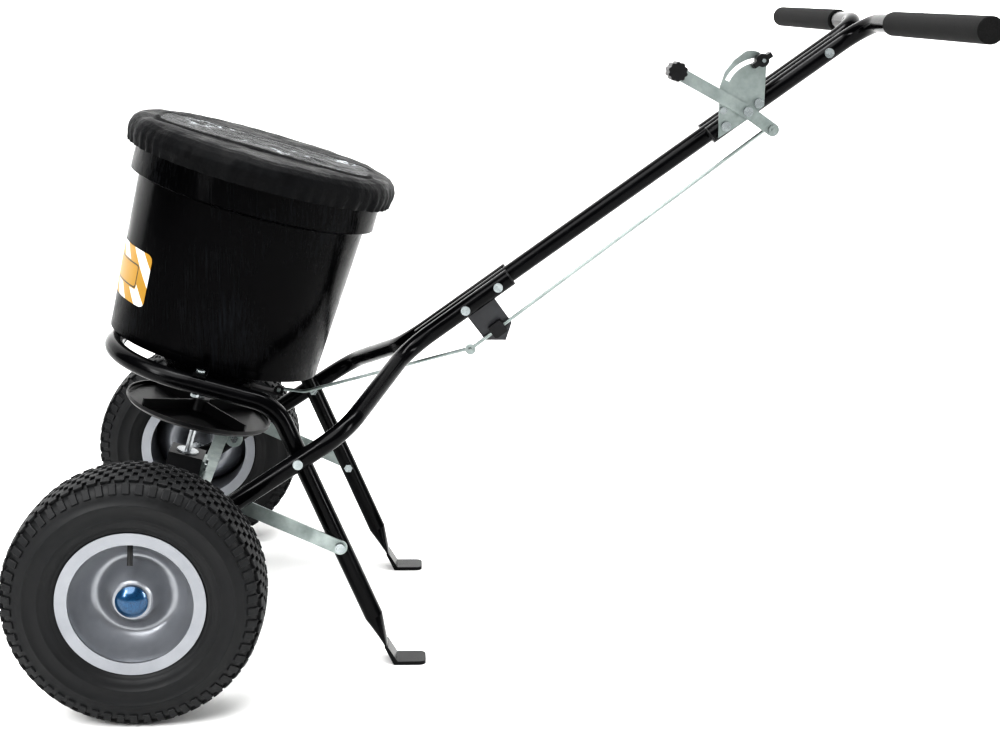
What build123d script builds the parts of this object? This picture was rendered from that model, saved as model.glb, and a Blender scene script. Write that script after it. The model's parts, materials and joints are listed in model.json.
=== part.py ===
from build123d import *
import os
from math import asin, atan2, cos, degrees, hypot, radians, sin

# Walk-behind broadcast spreader, parked on its two wheels and two leg feet.
# Millimetres. +X points rearward to the handle, +Y to the machine's right side, +Z up.
# The origin is on the ground, at the middle of the overall box. "Back" distances are
# measured rearward from the axle, "up" distances along the hopper's leaning centre line.

os.makedirs("parts", exist_ok=True)

# ---------------------------------------------------------------- driving dimensions
# running gear
wheel_radius = 165.0
tyre_width = 106.0
track_half = 350.0
rim_flange_radius = 93.5
rim_seat_radius = 80.0
rim_half_width = 44.5
rim_sheet = 2.0
hub_radius = 14.0
axle_radius = 8.0
running_gap = 0.05

# leaning machine line and hopper
lean = 15.3
hopper_wall = 3.5
hopper_floor_up = 214.0
hopper_floor_radius = 64.0
hopper_funnel_radius = 112.0
hopper_lip_up = 252.2
hopper_crease_up = 263.0
hopper_base_radius = 151.0
hopper_ledge_up = 472.0
hopper_top_radius = 162.5
collar_radius = 175.0
rim_up = 549.0
rim_radius = 181.0
cover_hem_up = 514.0
cover_radius = 192.5
cover_cloth = 2.0

# tube frame
tube_radius = 12.7
tube_wall = 1.8
leg_half = 188.0
knee_out = 107.6
knee_bend = 62.0
loop_front = 131.0
loop_corner = 118.0
ankle_back = 316.0
ankle_up = 26.0
foot_heel_back = 329.0
foot_tip_back = 371.0
foot_width = 38.0
foot_thickness = 5.0
side_gap = 3.4
side_bend_back = 259.0
side_bend_up = 338.0
side_join_back = 345.0
side_end_back = 490.0
side_bend_radius = 70.0
mast_foot_up = 156.3
mast_slope = 0.7333
mast_start_back = 362.0
mast_end_back = 948.0
handle_start_back = 772.0
handle_bar_back = 989.6
handle_bend_radius = 50.0
handle_half = 499.0
grip_inner = 139.0
grip_radius = 15.9
grip_end = 3.5

# bolts
bolt_radius = 4.0
bolt_head_radius = 6.8
bolt_head_height = 4.5
crossing_back = 198.4
brace_top_back = 108.0
brace_low_up = 171.0
brace_width = 20.0
brace_thickness = 3.0
bar_bolt_back = 70.0
bar_up = 60.0
bar_thickness = 4.0
tab_bolt_radius = 3.0
mast_bolt_backs = (427.0, 473.0)
handle_bolt_back = 931.0

# rate control
plate_thickness = 2.5
plate_bolt_backs = (790.0, 835.0)
lever_pivot_back = 819.0
lever_angle = 152.6
lever_reach = 119.0
lever_arm = 44.65
lever_tab_angle = -34.05
lever_width = 18.0
lever_thickness = 4.0
knob_radius = 13.5
knob_length = 31.0
knob_flutes = 10
rest_stud_back = 785.0
rest_stud_up = 757.5
slot_centre = (834.0, 778.8)
slot_radius = 49.4
slot_start = 90.0
slot_end = 156.0
slot_width = 6.5
rod_radius = 2.5
rod_side = -12.0
rod_eye = (436.0, 407.0)
link_elbow = (195.0, 341.0)

# gate and spinner
gate_gap = 1.0
gate_thickness = 2.5
gate_half_width = 46.0
gate_front = 62.0
gate_ear_out = 105.0
gate_ear_up = 216.0
gate_travel = 23.0
outlet_radius = 11.0
outlet_out = 30.0
outlet_side = 20.0
shaft_radius = 4.5
shaft_low = 20.0
shaft_high = 246.0
disc_up = 151.0
disc_radius = 106.0
disc_thickness = 3.0
vane_height = 17.0
vane_count = 4

# gears: a crown wheel on the axle drives a pinion on the spinner shaft
crown_teeth = 30
pinion_teeth = 10
crown_pitch_radius = 40.0
gear_face = 8.0
tooth_addendum = 2.2
tooth_dedendum = 2.8
tooth_thickness = 3.0
box_radius = 54.0
box_wall = 4.0
neck_half = 25.0
boss_up = 88.0

# ---------------------------------------------------------------- frames of reference
handle_back_end = handle_bar_back + grip_radius
axle_x = (wheel_radius - handle_back_end) / 2
lean_rad = radians(lean)
back_dir = Vector(cos(lean_rad), 0, -sin(lean_rad))
up_dir = Vector(sin(lean_rad), 0, cos(lean_rad))
axle_centre = Vector(axle_x, 0, wheel_radius)
spin_axis = Axis(axle_centre, up_dir)
side_half = leg_half + 2 * tube_radius + side_gap
pinion_pitch_radius = crown_pitch_radius * pinion_teeth / crown_teeth
mast_angle = degrees(atan2(mast_slope, 1))


def at(back, y, up):
    """Point a distance behind the axle, to the right, and above the ground."""
    return (axle_x + back, y, up)


def leaning(out, y, up):
    """Point given along the leaning hopper: out rearward from its centre line, up from the axle."""
    return tuple(axle_centre + back_dir * out + up_dir * up + Vector(0, y, 0))


def side_plane(y):
    """Upright plane seen from the left: x is back from the axle, y is height, z is leftward."""
    return Plane(origin=(axle_x, y, 0), x_dir=(1, 0, 0), z_dir=(0, -1, 0))


def level(up):
    """Plane square to the hopper's centre line, at a height above the axle."""
    return Plane(origin=leaning(0, 0, up), x_dir=back_dir, z_dir=up_dir)


def mast_height(back):
    """Height of the mast's centre line above the ground."""
    return mast_foot_up + mast_slope * back


def between(start, end):
    """Sketch location half-way between two (back, height) points, turned along them, and their distance."""
    run, rise = end[0] - start[0], end[1] - start[1]
    middle = ((start[0] + end[0]) / 2, (start[1] + end[1]) / 2)
    return Location(middle, degrees(atan2(rise, run))), hypot(run, rise)


def drill(points, radius=bolt_radius):
    """Cut crosswise bolt holes through the current part at (back, height) points."""
    with BuildSketch(side_plane(0)) as holes:
        with Locations(*points):
            Circle(radius)
    extrude(holes.sketch, amount=handle_half, both=True, mode=Mode.SUBTRACT)


def bolt(point, y_head, y_nut):
    """Crosswise bolt in the current part, with a round head at one end and a hex nut at the other."""
    outward = 1 if y_head > y_nut else -1
    with BuildSketch(side_plane(y_head)) as shank:
        with Locations(point):
            Circle(bolt_radius)
    extrude(shank.sketch, amount=y_head - y_nut)
    with BuildSketch(side_plane(y_head)) as head:
        with Locations(point):
            Circle(bolt_head_radius)
    extrude(head.sketch, amount=-outward * bolt_head_height)
    with BuildSketch(side_plane(y_nut)) as nut:
        with Locations(point):
            RegularPolygon(bolt_head_radius, 6)
    extrude(nut.sketch, amount=outward * bolt_head_height)


section = Plane(origin=axle_centre, x_dir=back_dir, z_dir=(0, -1, 0))


def wheel_plane(side):
    """Half-section plane of a wheel: x runs outboard from its middle, y is the radius."""
    return Plane(origin=(axle_x, side * track_half, wheel_radius), x_dir=(0, side, 0), z_dir=(side, 0, 0))


wheel_axis = Axis(axle_centre, (0, 1, 0))
sides = ((-1, "left"), (1, "right"))

# the leg loop lies level under the hopper's lip as far back as the knee
loop_up = hopper_lip_up - tube_radius - 0.2
knee_back = leaning(knee_out, 0, loop_up)[0] - axle_x
knee_up = leaning(knee_out, 0, loop_up)[2]

# crosswise bolts, as (back, height)
side_slope = (side_bend_up - wheel_radius) / side_bend_back
leg_run = (ankle_back - knee_back) / (knee_up - ankle_up)
brace_low_back = knee_back + (knee_up - brace_low_up) * leg_run
leg_bolts = [(crossing_back, wheel_radius + side_slope * crossing_back), (brace_low_back, brace_low_up)]
brace_bolts = [(brace_top_back, wheel_radius + side_slope * brace_top_back)]
bar_bolts = [(bar_bolt_back, wheel_radius + side_slope * bar_bolt_back)]
mast_bolts = [(back, mast_height(back)) for back in mast_bolt_backs]
plate_bolts = [(back, mast_height(back)) for back in plate_bolt_backs]
lever_pivot = (lever_pivot_back, mast_height(lever_pivot_back))
handle_bolts = plate_bolts + [lever_pivot, (handle_bolt_back, mast_height(handle_bolt_back))]
tab_points = ((0, -leg_half), (0, leg_half), (-loop_front, 0))

# ---------------------------------------------------------------- leg loop
# One bent tube: foot, leg, knee, round the hopper's front, and down the other side.
knee = {s: at(knee_back, s * leg_half, knee_up) for s, _ in sides}
corner = {s: leaning(-loop_front, s * leg_half, loop_up) for s, _ in sides}
ankle = {s: at(ankle_back, s * leg_half, ankle_up) for s, _ in sides}
flat_start = 44.0

with BuildPart() as leg_loop:
    with BuildLine() as loop_path:
        leg_top = {s: Vector(*knee[s]) + (Vector(*ankle[s]) - Vector(*knee[s])).normalized()
                   * (abs(Vector(*ankle[s]) - Vector(*knee[s])) - flat_start) for s, _ in sides}
        FilletPolyline(leg_top[-1], knee[-1], corner[-1], corner[1], knee[1], leg_top[1],
                       radius=(knee_bend, loop_corner, loop_corner, knee_bend))
    leg_dir = (Vector(*knee[-1]) - Vector(*ankle[-1])).normalized()
    with BuildSketch(Plane(origin=leg_top[-1], x_dir=(0, 1, 0), z_dir=leg_dir)):
        Circle(tube_radius)
        Circle(tube_radius - tube_wall, mode=Mode.SUBTRACT)
    sweep(path=loop_path.line)
    for s, _ in sides:
        # each leg is pressed flat above the ankle and bent back into a foot
        with BuildSketch(Plane(origin=leg_top[s], x_dir=(0, 1, 0), z_dir=leg_dir)):
            Circle(tube_radius)
        with BuildSketch(Plane(origin=ankle[s], x_dir=(0, 1, 0), z_dir=leg_dir)):
            Ellipse(foot_width / 2, foot_thickness / 2)
        loft()
        with BuildSketch(side_plane(s * leg_half)):
            toe = foot_thickness
            with BuildLine():
                Polyline((ankle_back - toe / 2, ankle_up), (ankle_back + toe / 2, ankle_up),
                         (foot_heel_back + toe / 2, toe), (foot_heel_back + 2 * toe, toe),
                         (foot_heel_back + 2 * toe, 0), (foot_heel_back - toe / 2, 0), close=True)
            make_face()
        extrude(amount=foot_width / 2, both=True)
        with BuildSketch(Plane.XY):
            with Locations(at((foot_heel_back + foot_tip_back) / 2, s * leg_half, 0)[:2]):
                RectangleRounded(foot_tip_back - foot_heel_back, foot_width, 9)
        extrude(amount=foot_thickness)
    drill(leg_bolts)
    for out, y in tab_points:
        with BuildSketch(level(loop_up)):
            with Locations((out, y)):
                Circle(tab_bolt_radius)
        extrude(amount=2 * tube_radius, both=True, mode=Mode.SUBTRACT)
leg_loop.part.label = "leg_loop"
export_step(leg_loop.part, "parts/leg_loop.step")

# ---------------------------------------------------------------- side tubes of the frame
# From a flattened ear on the axle, past the leg, and inward to lie against the mast.
side_dir = Vector(side_bend_back, 0, side_bend_up - wheel_radius).normalized()
ear_length = 46.0
ear_thickness = 5.0
ear_width = 36.0
bush_radius = 12.0
for s, side in sides:
    ear_end = axle_centre + Vector(0, s * side_half, 0)
    tube_start = ear_end + side_dir * ear_length
    with BuildPart() as side_tube:
        with BuildLine() as side_path:
            FilletPolyline(tube_start, at(side_bend_back, s * side_half, side_bend_up),
                           at(side_join_back, s * 2 * tube_radius, mast_height(side_join_back)),
                           at(side_end_back, s * 2 * tube_radius, mast_height(side_end_back)),
                           radius=(side_bend_radius, side_bend_radius))
        with BuildSketch(Plane(origin=tube_start, x_dir=(0, 1, 0), z_dir=side_dir)):
            Circle(tube_radius)
            Circle(tube_radius - tube_wall, mode=Mode.SUBTRACT)
        sweep(path=side_path.line)
        with BuildSketch(Plane(origin=tube_start, x_dir=(0, 1, 0), z_dir=side_dir)):
            Circle(tube_radius)
        with BuildSketch(Plane(origin=ear_end + side_dir * 16, x_dir=(0, 1, 0), z_dir=side_dir)):
            Ellipse(ear_thickness / 2, ear_width / 2)
        loft()
        with BuildSketch(side_plane(s * side_half)):
            with Locations((0, wheel_radius)):
                Circle(ear_width / 2)
                with Locations(Location((0, 0), degrees(atan2(side_dir.Z, side_dir.X)))):
                    Rectangle(16, ear_width, align=(Align.MIN, Align.CENTER))
        extrude(amount=ear_thickness / 2, both=True)
        with BuildSketch(side_plane(s * side_half)):
            with Locations((0, wheel_radius)):
                Circle(bush_radius)
        extrude(amount=tube_radius + 2, both=True, mode=Mode.SUBTRACT)
        drill(leg_bolts + brace_bolts + bar_bolts + mast_bolts)
    side_tube.part.label = f"side_tube_{side}"
    export_step(side_tube.part, f"parts/side_tube_{side}.step")

# flanged plastic bushes that carry the axle in the two ears
with BuildPart() as axle_bushes:
    for s, _ in sides:
        with BuildSketch(side_plane(s * side_half)):
            with Locations((0, wheel_radius)):
                Circle(bush_radius)
        extrude(amount=ear_thickness / 2 + 4, both=True)
        with BuildSketch(side_plane(s * (side_half + ear_thickness / 2))):
            with Locations((0, wheel_radius)):
                Circle(bush_radius + 3)
        extrude(amount=-s * 3)
        with BuildSketch(side_plane(s * side_half)):
            with Locations((0, wheel_radius)):
                Circle(axle_radius + running_gap)
        extrude(amount=ear_thickness + 10, both=True, mode=Mode.SUBTRACT)
axle_bushes.part.label = "axle_bushes"
export_step(axle_bushes.part, "parts/axle_bushes.step")

# ---------------------------------------------------------------- mast and handle
mast_dir = Vector(1, 0, mast_slope).normalized()
with BuildPart() as mast_tube:
    with BuildSketch(Plane(origin=at(mast_start_back, 0, mast_height(mast_start_back)),
                           x_dir=(0, 1, 0), z_dir=mast_dir)):
        Circle(tube_radius)
        Circle(tube_radius - tube_wall, mode=Mode.SUBTRACT)
    extrude(amount=(mast_end_back - mast_start_back) / mast_dir.X)
    drill(mast_bolts + handle_bolts)
mast_tube.part.label = "mast_tube"
export_step(mast_tube.part, "parts/mast_tube.step")

for s, side in sides:
    start = at(handle_start_back, s * 2 * tube_radius, mast_height(handle_start_back))
    with BuildPart() as handle_tube:
        with BuildLine() as handle_path:
            FilletPolyline(start, at(handle_bar_back, s * 2 * tube_radius, mast_height(handle_bar_back)),
                           at(handle_bar_back, s * handle_half, mast_height(handle_bar_back)),
                           radius=(handle_bend_radius,))
        with BuildSketch(Plane(origin=start, x_dir=(0, 1, 0), z_dir=mast_dir)):
            Circle(tube_radius)
            Circle(tube_radius - tube_wall, mode=Mode.SUBTRACT)
        sweep(path=handle_path.line)
        drill(handle_bolts)
    handle_tube.part.label = f"handle_tube_{side}"
    export_step(handle_tube.part, f"parts/handle_tube_{side}.step")

    bar_end = Plane(origin=at(handle_bar_back, s * handle_half, mast_height(handle_bar_back)),
                    x_dir=(1, 0, 0), z_dir=(0, s, 0))
    with BuildPart() as grip:
        with BuildSketch(bar_end.offset(grip_end)):
            Circle(grip_radius)
        extrude(amount=-(handle_half + grip_end - grip_inner))
        fillet(grip.edges().filter_by(GeomType.CIRCLE), 2.5)
        with BuildSketch(bar_end):
            Circle(tube_radius)
        extrude(amount=-(handle_half - grip_inner + 5), mode=Mode.SUBTRACT)
    grip.part.label = f"grip_{side}"
    export_step(grip.part, f"parts/grip_{side}.step")

# plastic plugs in the open tube ends: side tubes and the lower ends of the handle tubes
with BuildPart() as tube_plugs:
    for s, _ in sides:
        for back, facing in ((side_end_back, 1), (handle_start_back, -1)):
            end = at(back, s * 2 * tube_radius, mast_height(back))
            with BuildSketch(Plane(origin=end, x_dir=(0, 1, 0), z_dir=mast_dir * facing)):
                Circle(tube_radius)
            extrude(amount=2)
            with BuildSketch(Plane(origin=end, x_dir=(0, 1, 0), z_dir=mast_dir * facing)):
                Circle(tube_radius - tube_wall)
            extrude(amount=-12)
tube_plugs.part.label = "tube_plugs"
export_step(tube_plugs.part, "parts/tube_plugs.step")

# ---------------------------------------------------------------- braces, cross bar and frame bolts
leg_face = leg_half + tube_radius
for s, side in sides:
    with BuildPart() as brace:
        with BuildSketch(side_plane(s * (leg_face + brace_thickness / 2))):
            middle, length = between(brace_bolts[0], leg_bolts[1])
            with Locations(middle):
                SlotCenterToCenter(length, brace_width)
            with Locations(brace_bolts[0], leg_bolts[1]):
                Circle(bolt_radius, mode=Mode.SUBTRACT)
        extrude(amount=brace_thickness / 2, both=True)
    brace.part.label = f"brace_{side}"
    export_step(brace.part, f"parts/brace_{side}.step")

neck_face = neck_half
tube_inner_face = side_half - tube_radius
with BuildPart() as cross_bar:
    # flat strip behind the gearbox with a bolting flange at its middle and an ear at each tube
    with BuildSketch(level(bar_up)):
        with Locations((neck_face, 0)):
            Rectangle(20, 2 * tube_inner_face, align=(Align.MIN, Align.CENTER))
    extrude(amount=bar_thickness)
    with BuildSketch(level(bar_up)):
        with Locations((neck_face, 0)):
            Rectangle(bar_thickness, 40, align=(Align.MIN, Align.CENTER))
    extrude(amount=24)
    for s, _ in sides:
        with BuildSketch(side_plane(s * (tube_inner_face - 1.5))):
            with Locations(bar_bolts[0]):
                Circle(14)
        extrude(amount=1.5, both=True)
    drill(bar_bolts)
    with BuildSketch(Plane(origin=leaning(neck_face, 0, 0), x_dir=(0, 1, 0), z_dir=back_dir)):
        with Locations((-12, bar_up + 14), (12, bar_up + 14)):
            Circle(tab_bolt_radius)
    extrude(amount=bar_thickness, mode=Mode.SUBTRACT)
cross_bar.part.label = "cross_bar"
export_step(cross_bar.part, "parts/cross_bar.step")

outer_face = side_half + tube_radius
with BuildPart() as frame_bolts:
    for s, _ in sides:
        bolt(leg_bolts[0], s * outer_face, s * (leg_half - tube_radius))
        bolt(leg_bolts[1], s * (leg_face + brace_thickness), s * (leg_half - tube_radius))
        bolt(brace_bolts[0], s * outer_face, s * leg_face)
        bolt(bar_bolts[0], s * outer_face, s * (tube_inner_face - 3))
        # spacer that fills the gap where the leg and the side tube cross
        with BuildSketch(side_plane(s * leg_face)):
            with Locations(leg_bolts[0]):
                Circle(bolt_head_radius + 1)
        extrude(amount=-s * side_gap)
frame_bolts.part.label = "frame_bolts"
export_step(frame_bolts.part, "parts/frame_bolts.step")

with BuildPart() as mast_bolt_set:
    for point in mast_bolts + [(handle_bolt_back, mast_height(handle_bolt_back))]:
        bolt(point, -3 * tube_radius, 3 * tube_radius)
mast_bolt_set.part.label = "mast_bolts"
export_step(mast_bolt_set.part, "parts/mast_bolts.step")

# ---------------------------------------------------------------- hopper
tab_thickness = 5.0
tab_width = 18.0
with BuildPart() as hopper:
    with BuildSketch(section):
        with BuildLine():
            wall = hopper_wall
            Polyline((10, hopper_floor_up), (hopper_floor_radius, hopper_floor_up),
                     (hopper_funnel_radius, hopper_lip_up), (hopper_base_radius, hopper_lip_up),
                     (hopper_base_radius, hopper_crease_up), (hopper_top_radius, hopper_ledge_up),
                     (collar_radius, hopper_ledge_up + 5), (collar_radius, rim_up - 7),
                     (rim_radius, rim_up - 5), (rim_radius, rim_up), (collar_radius - wall, rim_up),
                     (collar_radius - wall, hopper_ledge_up + 9),
                     (hopper_top_radius - wall, hopper_ledge_up + 4),
                     (hopper_base_radius - wall, hopper_crease_up),
                     (hopper_base_radius - wall, hopper_lip_up + wall),
                     (hopper_funnel_radius - 1.5, hopper_lip_up + wall),
                     (hopper_floor_radius - 1.5, hopper_floor_up + wall),
                     (10, hopper_floor_up + wall), close=True)
        make_face()
    revolve(axis=spin_axis)
    # moulded tabs that sit on the leg loop
    with BuildSketch(level(loop_up + tube_radius)):
        for y in (-leg_half, leg_half):
            with Locations((0, (y / 2) + (hopper_base_radius - 4) * (y / leg_half) / 2)):
                Rectangle(tab_width, leg_half - hopper_base_radius + 20)
    extrude(amount=tab_thickness)
    with BuildSketch(level(loop_up)):
        for out, y in tab_points:
            with Locations((out, y)):
                Circle(tab_bolt_radius)
    extrude(amount=2 * tube_radius, mode=Mode.SUBTRACT)
    with BuildSketch(level(hopper_floor_up)):
        with Locations((outlet_out, -outlet_side), (outlet_out, outlet_side)):
            Circle(outlet_radius)
    extrude(amount=wall, mode=Mode.SUBTRACT)
hopper.part.label = "hopper"
export_step(hopper.part, "parts/hopper.step")

with BuildPart() as hopper_bolts:
    for out, y in tab_points:
        top = loop_up + tube_radius + (tab_thickness if y else wall + 0.2)
        for up, reach, head in ((top, 0, 3.5), (loop_up - tube_radius, -4, 0)):
            with BuildSketch(level(up + reach)):
                with Locations((out, y)):
                    RegularPolygon(5.5, 6)
            extrude(amount=max(head, -reach))
        with BuildSketch(level(loop_up - tube_radius)):
            with Locations((out, y)):
                Circle(tab_bolt_radius)
        extrude(amount=top - loop_up + tube_radius)
hopper_bolts.part.label = "hopper_bolts"
export_step(hopper_bolts.part, "parts/hopper_bolts.step")

with BuildPart() as shaft_bush:
    with BuildSketch(section):
        with BuildLine():
            bore = shaft_radius + running_gap
            Polyline((bore, hopper_floor_up), (10, hopper_floor_up), (10, hopper_floor_up + wall),
                     (15, hopper_floor_up + wall), (15, hopper_floor_up + wall + 2.5),
                     (bore, hopper_floor_up + wall + 5), close=True)
        make_face()
    revolve(axis=spin_axis)
shaft_bush.part.label = "shaft_bush"
export_step(shaft_bush.part, "parts/shaft_bush.step")

# rails under the hopper floor that carry the gate
rail_length = 70.0
gate_top = hopper_floor_up - gate_gap
with BuildPart() as gate_rails:
    for s, _ in sides:
        inner = gate_half_width + 0.5
        with BuildSketch(level(hopper_floor_up)):
            with Locations((0, s * (inner + 2))):
                Rectangle(rail_length, 4)
        extrude(amount=-7)
        with BuildSketch(level(hopper_floor_up - 7)):
            with Locations((0, s * inner)):
                Rectangle(rail_length, 8)
        extrude(amount=2.5)
gate_rails.part.label = "gate_rails"
export_step(gate_rails.part, "parts/gate_rails.step")

# ---------------------------------------------------------------- gate
with BuildPart() as gate_plate:
    with BuildSketch(level(gate_top - gate_thickness)):
        with Locations((4, 0)):
            RectangleRounded(gate_front * 2, gate_half_width * 2, 6)
        with Locations((gate_ear_out - 26, rod_side)):
            Rectangle(66, 20)
        with Locations((gate_travel / 2, 0)):
            SlotOverall(gate_travel + 14, 14, mode=Mode.SUBTRACT)
        with Locations((outlet_out + gate_travel, -outlet_side), (outlet_out + gate_travel, outlet_side)):
            Circle(outlet_radius, mode=Mode.SUBTRACT)
    extrude(amount=gate_thickness)
    ear = Plane(origin=leaning(gate_ear_out, rod_side, gate_ear_up), x_dir=back_dir, z_dir=(0, -1, 0))
    with BuildSketch(ear):
        with Locations((0, -2)):
            Rectangle(14, 8)
        Circle(7)
        Circle(rod_radius + 0.6, mode=Mode.SUBTRACT)
    extrude(amount=gate_thickness / 2, both=True)
gate_plate.part.label = "gate_plate"
export_step(gate_plate.part, "parts/gate_plate.step")

# ---------------------------------------------------------------- control rods
tab_point = (lever_pivot[0] + lever_arm * cos(radians(lever_tab_angle)),
             lever_pivot[1] + lever_arm * sin(radians(lever_tab_angle)))
rod_dir = Vector(tab_point[0] - rod_eye[0], 0, tab_point[1] - rod_eye[1]).normalized()
link_side = rod_side + 8.0
lever_face = -(3 * tube_radius + plate_thickness + 0.6)
rod_tip = lever_face - lever_thickness - 7
with BuildPart() as control_rod:
    with BuildLine() as rod_path:
        FilletPolyline(Vector(*at(rod_eye[0], rod_side, rod_eye[1])) + rod_dir * 6,
                       at(tab_point[0], rod_side, tab_point[1]),
                       at(tab_point[0], rod_tip, tab_point[1]), radius=(8,))
    with BuildSketch(Plane(origin=rod_path.line @ 0, x_dir=(0, 1, 0), z_dir=rod_dir)):
        Circle(rod_radius)
    sweep(path=rod_path.line)
    with BuildSketch(side_plane(rod_side)):
        with Locations(rod_eye):
            Circle(7.5)
    extrude(amount=rod_radius + 0.5, both=True)
    with BuildSketch(side_plane(rod_side)):
        with Locations(rod_eye):
            Circle(rod_radius + 0.4)
    extrude(amount=rod_radius + 0.5, both=True, mode=Mode.SUBTRACT)
    # push-on washer that keeps the bent end in the lever's slot
    with BuildSketch(side_plane(rod_tip + 4.5)):
        with Locations(tab_point):
            Circle(6.5)
    extrude(amount=1.5)
control_rod.part.label = "control_rod"
export_step(control_rod.part, "parts/control_rod.step")

gate_hook = (leaning(gate_ear_out, 0, gate_ear_up)[0] - axle_x, leaning(gate_ear_out, 0, gate_ear_up)[2])
with BuildPart() as link_rod:
    with BuildLine() as link_path:
        FilletPolyline(at(gate_hook[0], rod_side - 6, gate_hook[1]), at(gate_hook[0], link_side, gate_hook[1]),
                       at(link_elbow[0], link_side, link_elbow[1]), at(rod_eye[0], link_side, rod_eye[1]),
                       at(rod_eye[0], rod_side - 7, rod_eye[1]), radius=(5, 20, 5))
    with BuildSketch(Plane(origin=link_path.line @ 0, x_dir=(1, 0, 0), z_dir=(0, 1, 0))):
        Circle(rod_radius)
    sweep(path=link_path.line)
link_rod.part.label = "link_rod"
export_step(link_rod.part, "parts/link_rod.step")

# arm under the mast and the block the control rod slides through
bracket_half = 6.0
block_reach = 50.0
block_point = (rod_eye[0] + rod_dir.X * block_reach, rod_eye[1] + rod_dir.Z * block_reach)
mast_low = tube_radius / mast_dir.X
with BuildPart() as rod_bracket:
    with BuildSketch(side_plane(0)):
        with BuildLine():
            Polyline((430, mast_height(430) - mast_low), (468, mast_height(468) - mast_low),
                     (496, block_point[1] + 8), (488, block_point[1] - 18), (458, block_point[1] - 18),
                     close=True)
        make_face()
    extrude(amount=bracket_half, both=True)
    with BuildSketch(Plane(origin=at(400, 0, mast_height(400)), x_dir=(0, 1, 0), z_dir=mast_dir)):
        Circle(tube_radius)
    extrude(amount=120, mode=Mode.SUBTRACT)
rod_bracket.part.label = "rod_bracket"
export_step(rod_bracket.part, "parts/rod_bracket.step")

with BuildPart() as guide_block:
    block_plane = Plane(origin=at(block_point[0], rod_side, block_point[1]), x_dir=rod_dir,
                        z_dir=(0, -1, 0))
    with BuildSketch(block_plane.offset(bracket_half - abs(rod_side))):
        RectangleRounded(22, 20, 3)
    extrude(amount=2 * (abs(rod_side) - bracket_half))
    with BuildSketch(Plane(origin=at(block_point[0], rod_side, block_point[1]), x_dir=(0, 1, 0),
                           z_dir=rod_dir)):
        Circle(rod_radius + running_gap)
    extrude(amount=20, both=True, mode=Mode.SUBTRACT)
guide_block.part.label = "guide_block"
export_step(guide_block.part, "parts/guide_block.step")

# ---------------------------------------------------------------- rate plate, lever and stop
plate_face = -3 * tube_radius
with BuildPart() as rate_plate:
    with BuildSketch(side_plane(plate_face)):
        with BuildLine():
            Polyline((843, 817), (843, 765), (838, 760), (817, 743), (780, 719), (779, 768), (779, 791),
                     (785, 811), (797, 827), (812, 839))
            ThreePointArc((812, 839), (834, 837), (843, 817))
        make_face()
        with BuildLine():
            span = slot_end - slot_start + 5
            far = CenterArc(slot_centre, slot_radius + slot_width / 2, slot_start - 5, span)
            near = CenterArc(slot_centre, slot_radius - slot_width / 2, slot_start - 5, span)
            Line(far @ 0, near @ 0)
            Line(far @ 1, near @ 1)
        make_face(mode=Mode.SUBTRACT)
    extrude(amount=plate_thickness)
    drill(plate_bolts + [lever_pivot])
    drill([(rest_stud_back, rest_stud_up)], 2.5)
rate_plate.part.label = "rate_plate"
export_step(rate_plate.part, "parts/rate_plate.step")

with BuildPart() as plate_bolt_set:
    for point in plate_bolts:
        bolt(point, plate_face - plate_thickness, -plate_face)
    with BuildSketch(side_plane(plate_face)):
        with Locations((rest_stud_back, rest_stud_up)):
            Circle(2.5)
    extrude(amount=plate_thickness)
    with BuildSketch(side_plane(plate_face - plate_thickness)):
        with Locations((rest_stud_back, rest_stud_up)):
            Circle(5)
    extrude(amount=bolt_head_height)
plate_bolt_set.part.label = "plate_bolts"
export_step(plate_bolt_set.part, "parts/plate_bolts.step")

with BuildPart() as pivot_bolt:
    bolt(lever_pivot, lever_face - lever_thickness - 0.6, -plate_face)
    with BuildSketch(side_plane(plate_face - plate_thickness)):
        with Locations(lever_pivot):
            Circle(bolt_head_radius)
    extrude(amount=0.3)
pivot_bolt.part.label = "pivot_bolt"
export_step(pivot_bolt.part, "parts/pivot_bolt.step")

knob_centre = (lever_pivot[0] + lever_reach * cos(radians(lever_angle)),
               lever_pivot[1] + lever_reach * sin(radians(lever_angle)))
tab_angle = degrees(atan2(tab_point[1] - lever_pivot[1], tab_point[0] - lever_pivot[0]))
with BuildPart() as lever_bar:
    with BuildSketch(side_plane(lever_face)):
        for end in (knob_centre, tab_point):
            middle, length = between(lever_pivot, end)
            with Locations(middle):
                SlotCenterToCenter(length, lever_width)
        with Locations(lever_pivot):
            Circle(bolt_radius + running_gap, mode=Mode.SUBTRACT)
        with Locations(Location((tab_point[0], tab_point[1]), tab_angle)):
            SlotOverall(4 * rod_radius, 2 * rod_radius + 1.2, mode=Mode.SUBTRACT)
    extrude(amount=lever_thickness)
lever_bar.part.label = "lever_bar"
export_step(lever_bar.part, "parts/lever_bar.step")

knob_plane = side_plane(lever_face - lever_thickness)
with BuildPart() as lever_knob:
    with BuildSketch(knob_plane):
        with Locations(knob_centre):
            Circle(knob_radius)
            with PolarLocations(knob_radius + 1.5, knob_flutes):
                Circle(3, mode=Mode.SUBTRACT)
    extrude(amount=knob_length)
    fillet(lever_knob.faces().sort_by(Axis.Y)[0].edges(), 1)
lever_knob.part.label = "lever_knob"
export_step(lever_knob.part, "parts/lever_knob.step")

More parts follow.
